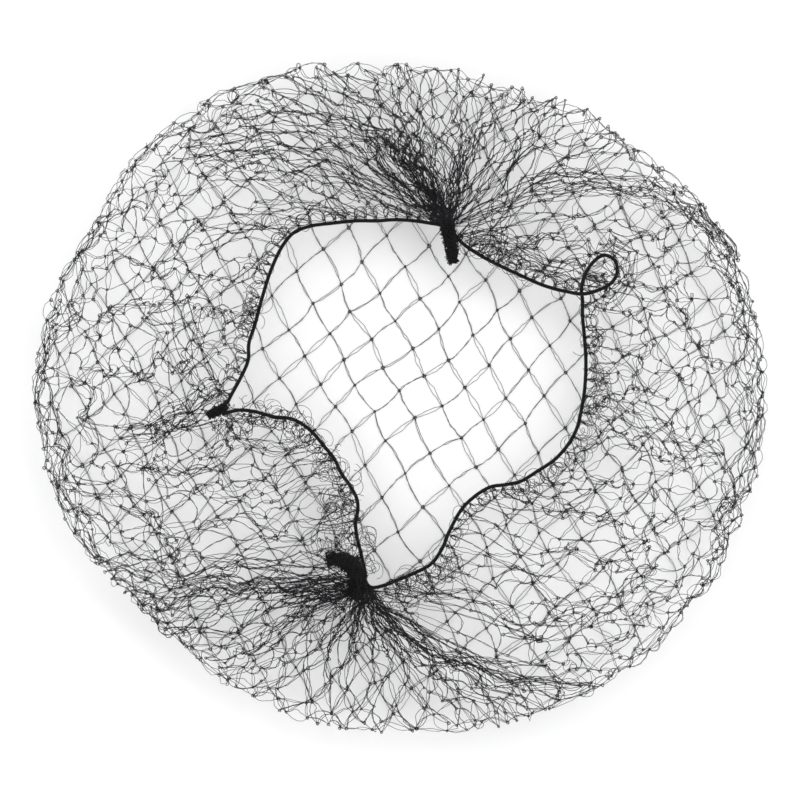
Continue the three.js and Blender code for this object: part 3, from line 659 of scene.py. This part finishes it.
def settle(target, links, pinned, loose, crowding, rounds):
    """Moves knots until no strand is too long, close to where the bag wants them. Pinned ones
    stay, loose is each round's share of the way home, and crowding is the least share of its
    length that a strand spans."""
    longest = 0.985 * STRAND_LENGTH
    shortest = STRAND_LENGTH * crowding
    push = 0.4
    step = 0.9
    x = target.copy()
    a, b = links.T
    share = 1 / np.maximum(np.bincount(links.ravel(), minlength=len(x)), 1)[:, None]
    pinned, loose = (np.broadcast_to(value, len(x))[:, None] for value in (pinned, loose))
    radius = section("radius", bearing(target)) - KNOT_INSET
    for _ in range(rounds):
        gap = x[b] - x[a]
        length = norm(gap, axis=1)
        too_short = np.where(length < shortest, push * (length - shortest), 0)
        excess = np.where(length > longest, length - longest, too_short)
        move = gap * (excess / np.maximum(length, 1e-6))[:, None]
        shift = np.zeros_like(x)
        np.add.at(shift, a, move)
        np.add.at(shift, b, -move)
        x += np.where(pinned, 0, shift * share * step)
        x += (target - x) * loose
        out = np.hypot(x[:, 0], x[:, 1])
        x[:, :2] *= np.minimum(1, radius / np.maximum(out, 1e-6))[:, None]
        x[:, 2] = np.clip(x[:, 2], FLOOR_CLEARANCE, HIGHEST_KNOT)
    return x


# Strands and meshes

def arcs(start, end, length, bow, steps, twist):
    """Points of bowed strands of a fixed length between two ends, and the way across the bow."""
    roundest = 2.5  # radians, half of what an arc may turn
    straightest = 0.9995
    gap = end - start
    chord = norm(gap, axis=1)
    half = np.linspace(1e-3, roundest, 400)
    ratio = np.clip(chord / length, np.sin(roundest) / roundest, straightest)
    alpha = np.interp(-ratio, -np.sin(half) / half, half)
    rho = chord / (2 * np.sin(alpha))
    t = np.linspace(-1, 1, steps)
    phi = alpha[:, None] * t
    x = rho[:, None] * np.sin(phi)
    y = rho[:, None] * (np.cos(phi) - np.cos(alpha)[:, None])
    slack = length * np.sqrt(1 - ratio ** 2)
    z = slack[:, None] * twist[:, None] * np.sin(math.pi * t)[None]
    along = unit(gap)
    side = unit(bow - (bow * along).sum(1)[:, None] * along)
    third = np.cross(along, side)
    points = ((start + end) / 2)[:, None]
    for amount, way in ((x, along), (y, side), (z, third)):
        points = points + amount[..., None] * way[:, None]
    return points, third


def strand_paths(knots, strands, slack, lift):
    """Two filaments for every strand, which bow by their slack, level where lift is 0."""
    count = len(strands)
    start, end = knots[strands[:, 0]], knots[strands[:, 1]]
    distance = norm(end - start, axis=1)
    spare = np.maximum(STRAND_LENGTH - distance, 0) * slack
    heading = math.pi * waves((start + end) / 2, BOW_WAVELENGTH, BOW_SEED)
    heading += rng.normal(0, BOW_JITTER, count)
    rise = rng.normal(*BOW_RISE, count) * lift
    bow = np.stack([np.cos(heading), np.sin(heading), rise], axis=1)
    freedom = np.stack([np.ones_like(lift), np.ones_like(lift), FILAMENT_RISE * lift], axis=1)
    pair = []
    for filament in (-1, 1):
        lengths = distance * (1 + rng.uniform(*FILAMENT_EXTRA, count))
        lengths += spare * rng.uniform(*FILAMENT_SLACK, count)
        turned = bow * rng.choice(BOW_SIDES, count)[:, None]
        turned += FILAMENT_PARTING * filament * rng.normal(0, 1, bow.shape) * freedom
        twist = rng.normal(0, TWIST, count) * lift
        paths, up = arcs(start, end, lengths, turned, STEPS, twist)
        paths[:, 1:-1, :2] += rng.normal(0, KINK, (count, STEPS - 2, 2))
        paths[..., 2] = np.maximum(paths[..., 2], LOWEST_FILAMENT)
        pair.append((paths, up))
    return pair


def circle(side, other, sides):
    """Ways out all round a line, from two ways across it."""
    turn = math.tau * np.arange(sides)[:, None] / sides
    return side[..., None, :] * np.cos(turn) + other[..., None, :] * np.sin(turn)


def tube_faces(count, steps, sides):
    """The faces of tubes whose rings of vertices follow each other."""
    first = np.arange(count)[:, None, None] * steps * sides
    row = np.arange(steps - 1)[None, :, None] * sides
    a = np.arange(sides)[None, None]
    b = (a + 1) % sides
    corners = [first + row + a, first + row + b, first + row + sides + b, first + row + sides + a]
    return np.stack(corners, axis=-1).reshape(-1, 4)


def tubes(name, bunches, radius, sides, material):
    """One mesh of many thin tubes. Each bunch is (paths, up): paths with equal counts of points,
    and a way that none runs along, for all or for each."""
    vertices = []
    faces = []
    base = 0
    for paths, up in bunches:
        count, steps, _ = paths.shape
        tangent = unit(np.gradient(paths, axis=1))
        side = unit(np.cross(tangent, up[:, None] if up.ndim == 2 else up))
        out = circle(side, np.cross(tangent, side), sides)
        vertices.append((paths[:, :, None] + radius * out).reshape(-1, 3))
        faces.append(base + tube_faces(count, steps, sides))
        base += count * steps * sides
    return mesh_piece(name, np.vstack(vertices), np.vstack(faces), material)


def add_object(name, data):
    """A new object in the scene."""
    item = bpy.data.objects.new(name, data)
    bpy.context.collection.objects.link(item)
    return item


def mesh_piece(name, vertices, faces, material):
    """A smooth object from vertices in millimetres and faces with equal counts of them."""
    mesh = bpy.data.meshes.new(name)
    mesh.vertices.add(len(vertices))
    mesh.vertices.foreach_set("co", (vertices * MM).astype(np.float32).ravel())
    mesh.loops.add(faces.size)
    mesh.loops.foreach_set("vertex_index", faces.astype(np.int32).ravel())
    mesh.polygons.add(len(faces))
    loop_start = np.arange(0, faces.size, faces.shape[1], dtype=np.int32)
    mesh.polygons.foreach_set("loop_start", loop_start)
    mesh.polygons.foreach_set("use_smooth", np.ones(len(faces), bool))
    mesh.update(calc_edges=True)
    mesh.validate()
    mesh.materials.append(material)
    piece = add_object(name, mesh)
    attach(piece, "root")
    return piece


# Materials

def set_inputs(node, values):
    """Sets a node's inputs by their names."""
    for name, value in values.items():
        node.inputs[name].default_value = value


def noise_material(name, scale, stops):
    """A material whose colour follows a noise from one (place on the ramp, colour) to another.
    Returns it with its nodes, a function that links two of them, and the noise."""
    material = bpy.data.materials.new(name)
    material.use_nodes = True
    nodes = material.node_tree.nodes

    def link(source, output, target, name):
        material.node_tree.links.new(source.outputs[output], target.inputs[name])

    noise = nodes.new("ShaderNodeTexNoise")
    ramp = nodes.new("ShaderNodeValToRGB")
    set_inputs(noise, {"Scale": scale})
    for element, (place, colour) in zip(ramp.color_ramp.elements, stops):
        element.position = place
        element.color = (*colour, 1)
    link(noise, "Fac", ramp, "Fac")
    link(ramp, "Color", nodes["Principled BSDF"], "Base Color")
    return material, nodes, link, noise


def yarn_material(name, dark, light, roughness, scale, sheen):
    """Dyed thread: its shade and gloss change a little along it, with fine fibre bump."""
    gloss_change = 0.12
    fibres_per_shade = 12
    material, nodes, link, noise = noise_material(name, scale, [(0.3, dark), (0.75, light)])
    shader = nodes["Principled BSDF"]
    place = nodes.new("ShaderNodeTexCoord")
    gloss = nodes.new("ShaderNodeMapRange")
    fibre = nodes.new("ShaderNodeTexNoise")
    bump = nodes.new("ShaderNodeBump")
    set_inputs(noise, {"Detail": 4})
    set_inputs(gloss, {"To Min": roughness - gloss_change, "To Max": roughness + gloss_change})
    set_inputs(fibre, {"Scale": scale * fibres_per_shade})
    set_inputs(bump, {"Strength": 0.35, "Distance": 0.00004})
    set_inputs(shader, {"Specular IOR Level": 0.15, "Sheen Weight": sheen, "Sheen Roughness": 0.5})
    link(place, "Object", noise, "Vector")
    link(noise, "Fac", gloss, "Value")
    link(gloss, "Result", shader, "Roughness")
    link(place, "Object", fibre, "Vector")
    link(fibre, "Fac", bump, "Height")
    link(bump, "Normal", shader, "Normal")
    return material


def floor_material():
    """A pale, nearly even floor."""
    shades = [(0, (0.93, 0.93, 0.935)), (1, (0.95, 0.95, 0.95))]
    material, nodes, *_ = noise_material("pale_floor", 9, shades)
    set_inputs(nodes["Principled BSDF"], {"Roughness": 0.9})
    return material


nylon = yarn_material("nylon_net", dark=(0.006, 0.0055, 0.007), light=(0.026, 0.024, 0.028),
                      roughness=0.5, scale=900, sheen=0.05)
elastic = yarn_material("wrapped_elastic", dark=(0.0015, 0.0015, 0.0018),
                        light=(0.007, 0.0066, 0.0076), roughness=0.75, scale=1400, sheen=0.08)
thread = yarn_material("tuft_thread", dark=(0.0018, 0.0018, 0.002),
                       light=(0.008, 0.0075, 0.0085), roughness=0.8, scale=1800, sheen=0.08)


# The pieces of the net

def net_tubes(name, bunches, radius=FILAMENT_RADIUS):
    """One piece of the net from the paths of its filaments."""
    return tubes(name, bunches, radius, FILAMENT_SIDES, nylon)


def sheet_netting():
    """The sheet from the flat middle to the mouth: its pieces and knots, the smooth wall that
    further layers lie on, and the edge's knots round the mouth."""
    sheet, strands, on_rim = lattice()
    place, wall, gathered = bag_points(sheet)
    surface = place[wall > SURFACE_START]
    in_wall = np.clip((wall - FLAT_END) / FREE_OVER, 0, 1)
    knot_free = in_wall * ~on_rim
    tight = in_gather(bearing(sheet))
    wander(place, sheet, WALL_NOISE, knot_free, tight)
    wander(place, sheet, FLAT_NOISE, 1 - in_wall, tight)
    place[:, 2] = np.maximum(place[:, 2], FLOOR_CLEARANCE)
    draw_to_folds(place, knot_free * (wall > FOLD_START))
    looseness = np.where(wall < FLAT_END, 0.4, 0.05)
    crowding = np.where(tight[strands].mean(axis=1) > 0.5, 0.3, 0.45)
    knots = settle(place, strands, on_rim, looseness, crowding, rounds=260)
    height = wall[strands].mean(axis=1)
    slack = np.where(height < FLAT_END, 0, 0.3)
    pair = strand_paths(knots, strands, slack, lift=(height > LIFT_START).astype(float))
    where = np.digitize(height, PIECE_STARTS)
    parts = [[(paths[where == k], up[where == k]) for paths, up in pair] for k in range(3)]
    pieces = [net_tubes("net_base", parts[0], BASE_FILAMENT_RADIUS),
              net_tubes("net_side", parts[1]), net_tubes("net_top", parts[2])]
    edge = np.flatnonzero(on_rim & ~gathered)
    edge = edge[np.argsort(np.mod(bearing(sheet[edge]) - EDGE_START, 360))]
    return pieces, knots, surface, knots[edge]


def fan_netting(fan, surface):
    """One fan of pleats on the wall: its piece and its knots."""
    place, strands, outwards, mouth_height = pleats(fan)
    place[:, 2] = lay_on(place, surface)
    place[:, 2] += (mouth_height - place[:, 2]) * (1 - outwards) ** 4
    near_neck = to_neck(place)
    moving = np.clip(outwards / PLEAT_HOLD, 0, 1)
    wander(place, place, PLEAT_NOISE, moving, near_neck)
    draw_to_folds(place, moving * 0.8)
    knots = settle(place, strands, outwards == 0, loose=0.1, crowding=0.3, rounds=60)
    slack = 0.35 - 0.25 * near_neck[strands].mean(axis=1)
    pair = strand_paths(knots, strands, slack, lift=np.ones(len(strands)))
    return net_tubes(fan["name"], pair, PLEAT_FILAMENT_RADIUS), knots


def crease_netting(surface):
    """The creases on the wall: their piece and their knots."""
    place, strands = creases()
    place[:, 2] = lay_on(place, surface) + rng.uniform(0, CREASE_LIFT, len(place))
    knots = settle(place, strands, pinned=False, loose=0.1, crowding=0.3, rounds=30)
    pair = strand_paths(knots, strands, slack=0.25, lift=np.ones(len(strands)))
    return net_tubes("creases", pair), knots


def edge_curls():
    """Small curls of yarn beside the elastic."""
    paths = []
    t = np.linspace(0, 1, CURL_STEPS)
    for curl in CURLS:
        low, high = sorted((mouth_index(curl["from"]), mouth_index(curl["to"])))
        for _ in range(curl["count"]):
            k = rng.integers(low, high + 1)
            along = unit(mouth_path[min(k + 3, MOUTH_SAMPLES)] - mouth_path[max(k - 3, 0)])
            out = outwards_of(along) * curl["reach"] * rng.uniform(*CURL_OUT)
            middle = mouth_path[k] + out + np.array([0, 0, rng.uniform(*CURL_RISE)])
            start = rng.uniform(0, math.tau)
            turn = start + rng.uniform(*CURL_TURN) * t * rng.choice([-1, 1])
            size = rng.uniform(*CURL_RADIUS) * (1 + rng.uniform(*CURL_GROWTH) * t)
            drift = rng.normal(0, CURL_DRIFT, 3) * np.array([1, 1, 0.5])
            tilt = rng.uniform(-CURL_TILT, CURL_TILT)
            x, y = size * np.cos(turn), size * np.sin(turn)
            paths.append(middle + np.stack([x, y, tilt * x], axis=1) + t[:, None] * drift)
    return net_tubes("edge_curls", [(np.array(paths), np.array([0.1, 0.2, 1.0]))])


def net_knots(places):
    """A knot is a small tight curl of yarn where four strands meet."""
    turn = np.linspace(0, KNOT_TURNS * math.tau, KNOT_STEPS)
    radius = KNOT_RADIUS + KNOT_SWING[0] * np.cos(KNOT_SWING[1] * turn)
    x, y = radius * np.cos(turn), radius * np.sin(turn)
    z = KNOT_RISE[0] * np.sin(KNOT_RISE[1] * turn)
    size = rng.uniform(*KNOT_SIZES, len(places))
    spin = rng.uniform(0, math.tau, len(places))
    cos, sin = np.cos(spin)[:, None], np.sin(spin)[:, None]
    curls = np.stack([x * cos - y * sin, x * sin + y * cos, z + 0 * cos], axis=-1)
    paths = places[:, None] + curls * size[:, None, None]
    paths[..., 2] = np.maximum(paths[..., 2], FLOOR_CLEARANCE)
    return net_tubes("net_knots", [(paths, np.array([0.05, 0.03, 1.0]))], PLEAT_FILAMENT_RADIUS)


def edge_loops(edge):
    """The slack of the edge's meshes, in loops from knot to knot beside the elastic."""
    near = norm(edge[1:] - edge[:-1], axis=1) < STRAND_LENGTH
    first, second = edge[:-1][near], edge[1:][near]
    outward = unit((first + second) * np.array([1, 1, 0]))
    loops = []
    for _ in range(LOOP_COUNT):
        tilt = rng.normal(0, LOOP_TILT, outward.shape)
        lengths = rng.uniform(*LOOP_LENGTH, len(first))
        twist = rng.normal(0, LOOP_TWIST, len(first))
        loops.append(arcs(first, second, lengths, outward + tilt, LOOP_STEPS, twist))
    return net_tubes("edge_loops", loops)


def net():
    """All pieces of the netting."""
    pieces, knots, surface, edge = sheet_netting()
    layers = [fan_netting(fan, surface) for fan in FANS] + [crease_netting(surface)]
    pieces += [piece for piece, _ in layers]
    all_knots = np.vstack([knots] + [layer_knots for _, layer_knots in layers])
    pieces += [edge_curls(), net_knots(all_knots), edge_loops(edge)]
    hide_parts("net_bag")


# The elastic and the tufts

def elastic_cord():
    """A round cord whose wrapping thread shows as slanting ridges."""
    points = resample(cord_path, int(length_of(cord_path) / CORD_STEP))
    tangent = unit(np.gradient(points, axis=0))
    side = np.zeros_like(points)
    last = unit(np.cross(tangent[0], [0, 0, 1.0]))
    for k, way in enumerate(tangent):
        last = unit(last - (last @ way) * way)
        side[k] = last
    out = circle(side, np.cross(tangent, side), CORD_SIDES)
    ring = math.tau * np.arange(CORD_SIDES) / CORD_SIDES
    along = np.arange(len(points)) * CORD_STEP
    ridge = np.abs(np.sin(math.pi * along[:, None] / WRAP_PITCH - ring / 2))
    swell = CORD_RADIUS + WRAP_DEPTH * ridge - WRAP_DEPTH / 2
    vertices = (points[:, None] + swell[..., None] * out).reshape(-1, 3)
    faces = tube_faces(1, len(points), CORD_SIDES)
    cord_piece = mesh_piece("elastic_wrap", vertices, faces, elastic)
    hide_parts("elastic_cord")


def tuft_core(line, taper):
    """A tuft's middle line, the ways along and across it, and its share of the full width:
    narrower at its root and towards its tip, and round at the tip."""
    points = spline(line, False, TUFT_STEPS)
    along = unit(np.gradient(points, axis=0))
    side = unit(np.cross(along, [0.1, 0.2, 1.0]))
    share = np.linspace(0, 1, TUFT_STEPS)
    tip = np.sqrt(1 - (0.97 * np.clip((share - 0.55) / 0.45, 0, 1)) ** 2)
    width = tip * (0.8 + 0.2 * np.clip(share / 0.3, 0, 1) - taper * share)
    return {"points": points, "along": along, "side": side, "other": np.cross(along, side),
            "share": share, "width": width}


def around(core, out, turn):
    """Points at distances and turns round a core's middle line."""
    across = core["side"] * np.cos(turn)[:, None] + core["other"] * np.sin(turn)[:, None]
    return core["points"] + out[:, None] * across


def tuft_strands(core, width, count, local):
    """Strands that run along a tuft and end unevenly at its tip."""
    share = core["share"]
    paths = []
    for _ in range(count):
        turn = local.uniform(0, math.tau) + share * local.uniform(-5, 5)
        depth = math.sqrt(local.uniform(0.05, 1))
        swell = 0.8 + 0.2 * np.sin(share * 9 + local.uniform(0, 6))
        path = around(core, width / 2 * depth * swell * core["width"], turn)
        stray = np.cumsum(local.normal(0, 0.035, path.shape), axis=0)
        path += stray * np.sin(math.pi * share)[:, None]
        end = int(TUFT_STEPS * local.uniform(0.8, 1))
        paths.append(resample(path[:end], TUFT_STRAND_STEPS))
    return np.array(paths)


def tuft_winding(core, width):
    """The path of the thread that is wound round a tuft."""
    turn = np.linspace(0, math.tau * length_of(core["points"]) / WIND_PITCH, WIND_STEPS)
    at = np.linspace(0, TUFT_STEPS - 1, WIND_STEPS)
    marks = np.arange(TUFT_STEPS)
    fine = {name: between(core[name], marks, at) for name in ("points", "side", "other")}
    swell = 0.85 + 0.15 * np.sin(at * 0.3)
    out = width / 2 * WIND_DEPTH * swell * np.interp(at, marks, core["width"])
    return around(fine, out, turn)


def tuft_bristles(core, width, count, reach, local):
    """Short bent ends of yarn that stand out of a tuft."""
    t = np.linspace(0, 1, BRISTLE_STEPS)[:, None]
    paths = []
    for _ in range(count):
        k = int(local.uniform(4, TUFT_STEPS - 1))
        turn = local.uniform(0, math.tau)
        across = core["side"][k] * math.cos(turn) + core["other"][k] * math.sin(turn)
        lean = core["along"][k] * local.normal(0.2, 0.5)
        way = unit(across + lean + local.normal(0, 0.25, 3))
        bend = unit(local.normal(0, 1, 3))
        size = local.uniform(0.5, 1.0) * reach
        root = core["points"][k] + across * width * 0.36 * core["width"][k]
        paths.append(root + way * size * t + bend * 0.35 * size * t ** 2)
    return np.array(paths)


def tuft(name, node, line, width, taper, strands, bristles, reach, seed):
    """A bound tail: a core wound with thread, with bristly ends of yarn standing out of it."""
    local = np.random.default_rng(seed)
    core = tuft_core(line, taper)
    bunch = tuft_strands(core, width, strands, local)
    stems = tuft_bristles(core, width, bristles, reach, local)
    stem_up = unit(local.normal(0, 1, (len(stems), 3)))
    wind = tuft_winding(core, width)
    yarn = [(bunch, np.array([0.3, 0.2, 1.0])), (stems, stem_up)]
    winding = [(wind[None], unit(core["along"].mean(axis=0)))]
    piece = tubes(name, yarn, YARN_RADIUS, sides=4, material=thread)
    wound = tubes(name + "_winding", winding, WIND_RADIUS, sides=6, material=thread)
    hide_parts(node)


# Floor, light and camera

def stage_floor():
    """A floor six metres wide, a tenth of a millimetre under the net."""
    bpy.ops.mesh.primitive_plane_add(size=6, location=(0, 0, -0.1 * MM))
    floor = bpy.context.object
    floor.name = "floor"
    floor.data.materials.append(floor_material())


def area_light(name, place, size, power):
    """A square light that looks at the net's middle, in metres and watts."""
    light = bpy.data.lights.new(name, "AREA")
    light.shape = "SQUARE"
    light.size = size
    light.energy = power
    lamp = add_object(name, light)
    lamp.location = place
    x, y, z = place
    lamp.rotation_euler = (math.atan2(math.hypot(x, y), z), 0, math.atan2(-x, y))


def studio():
    """Soft light from all round and from two sides, shown without a film look."""
    world = bpy.data.worlds.new("studio")
    bpy.context.scene.world = world
    world.use_nodes = True
    set_inputs(world.node_tree.nodes["Background"], {"Color": (1, 1, 1, 1), "Strength": 1})
    area_light("key", (0.5, 0.6, 1.1), size=1.2, power=9)
    area_light("fill", (-0.7, -0.4, 0.9), size=1.4, power=5)
    bpy.context.scene.view_settings.view_transform = "Standard"


def photo_camera():
    """A long lens from straight above, as in the photo."""
    lens = bpy.data.cameras.new("photo_view")
    lens.sensor_width = SENSOR_WIDTH
    lens.lens = SENSOR_WIDTH * CAMERA_HEIGHT / IMAGE_WIDTH
    camera = add_object("photo_view", lens)
    x, y = IMAGE_CENTRE
    camera.location = (x * MM, y * MM, (CAMERA_HEIGHT + MIDDLE_HEIGHT) * MM)
    bpy.context.scene.camera = camera


net()
elastic_cord()
for row in TUFTS:
    tuft(**row)
stage_floor()
studio()
photo_camera()
